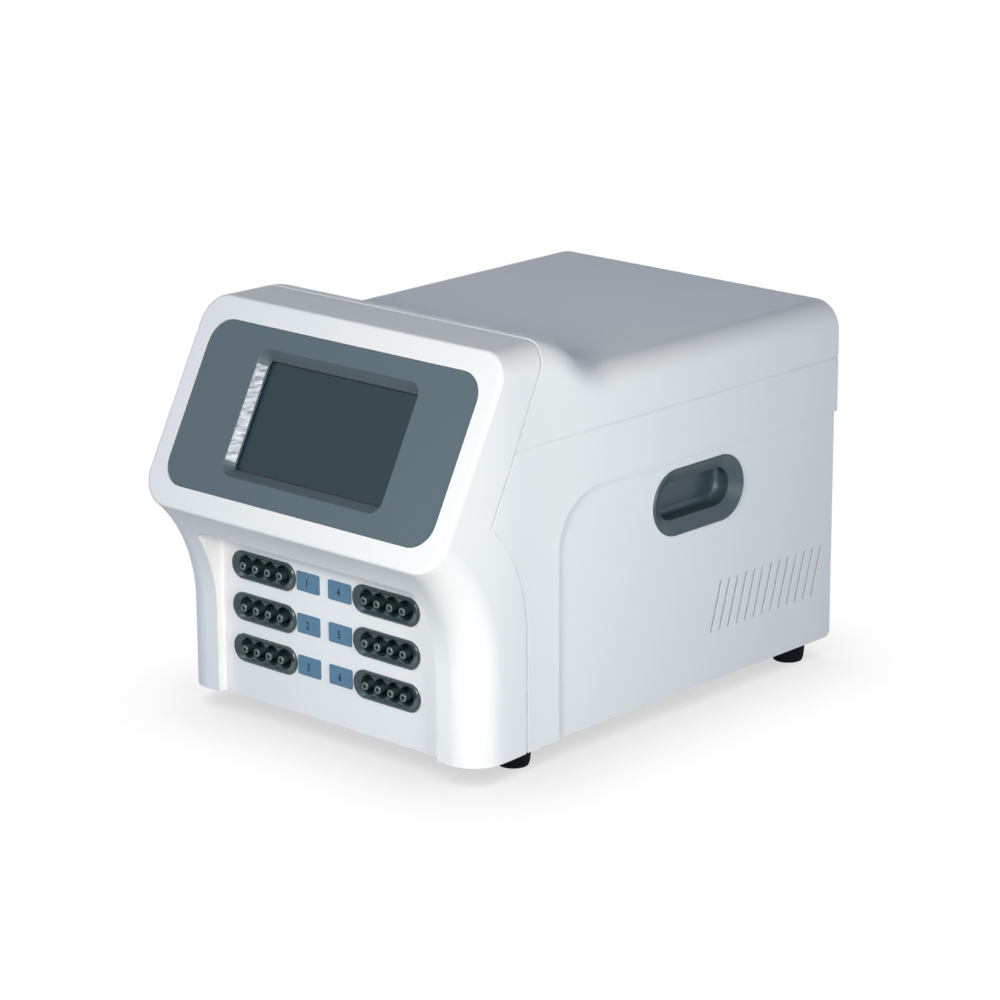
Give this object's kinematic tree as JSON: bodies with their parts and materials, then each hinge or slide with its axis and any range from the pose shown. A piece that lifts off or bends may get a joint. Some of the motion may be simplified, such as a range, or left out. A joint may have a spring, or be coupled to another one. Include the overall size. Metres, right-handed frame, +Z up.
{
  "type": "thermal cycler",
  "caption": "Bench thermal cycler with slanted touch screen, recessed hose ports, grip cups and a raised front; fluid and thermoelectric core inside.",
  "frame": {"origin": "on the bench under the middle of the case", "axes": "+Z up, the front faces -Y, +X to the right seen from behind the case's front, that is to the user's right"},
  "size_m": [0.306, 0.4562, 0.315],
  "materials": {
    "case": "satin moulded ABS, off-white",
    "dark_plate": "fine matt slate grey",
    "screen": "dark touch glass",
    "foil": "crinkled bright foil",
    "sheet_steel": "zinc-plated sheet",
    "rear_sheet": "fine textured powder coat",
    "screws": "zinc-plated",
    "black_plastic": "matt black",
    "rocker": "glossy black",
    "circuit_board": "green solder mask",
    "board_parts": "black moulded housings",
    "brass": "turned",
    "aluminium": "extruded",
    "ceramic": "white ceramic faces",
    "pump": "black moulded",
    "manifold": "machined acetal",
    "port": "glossy dark grey-green",
    "number_plate": "steel blue with a black numeral",
    "handle": "satin dark blue-grey",
    "foot": "moulded rubber"
  },
  "bodies": {
    "case": {"front_bezel": "case", "roof_cover": "case", "side_frame_left": "case", "side_frame_right": "case", "side_panel_left": "case", "side_panel_right": "case", "display_plate": "dark_plate", "screen_glass": "screen", "screen_module": "board_parts", "screen_bracket": "sheet_steel", "bracket_screws": "screws", "screen_strip": "foil", "base_tray": "sheet_steel", "rear_panel": "rear_sheet", "fan_frame": "black_plastic", "fan_screws": "screws", "power_inlet": "black_plastic", "switch_frame": "black_plastic", "power_supply": "sheet_steel", "control_board": "circuit_board", "board_standoffs": "brass", "board_screws": "screws", "cold_plate": "aluminium", "thermoelectric_modules": "ceramic", "heat_sink": "aluminium", "pump_warm": "pump", "pump_cold": "pump", "manifold_left": "manifold", "manifold_right": "manifold", "valve_bank_left": "board_parts", "valve_bank_right": "board_parts", "handle_cup_left": "handle", "handle_cup_right": "handle", "foot_screws": "screws", "port_block_1": "port", "number_plate_1": "number_plate", "port_block_2": "port", "number_plate_2": "number_plate", "port_block_3": "port", "number_plate_3": "number_plate", "port_block_4": "port", "number_plate_4": "number_plate", "port_block_5": "port", "number_plate_5": "number_plate", "port_block_6": "port", "number_plate_6": "number_plate", "foot_front_left": "foot", "foot_front_right": "foot", "foot_rear_left": "foot", "foot_rear_right": "foot"},
    "fan_rotor": {"fan_rotor": "black_plastic"},
    "power_rocker": {"power_rocker": "rocker"},
    "fuse_drawer": {"fuse_drawer": "black_plastic"}
  },
  "joints": [
    {"name": "fan_spin", "type": "hinge", "parent": "case", "child": "fan_rotor", "pos_m": [0.066, 0.2113, 0.165], "axis": [0, 1, 0], "continuous": true},
    {"name": "rocker_tilt", "type": "hinge", "parent": "case", "child": "power_rocker", "pos_m": [-0.12, 0.2219, 0.075], "axis": [1, 0, 0], "range_deg": [-16, 0]},
    {"name": "fuse_drawer_slide", "type": "slide", "parent": "case", "child": "fuse_drawer", "axis": [0, 1, 0], "range_m": [0, 0.016]}
  ]
}
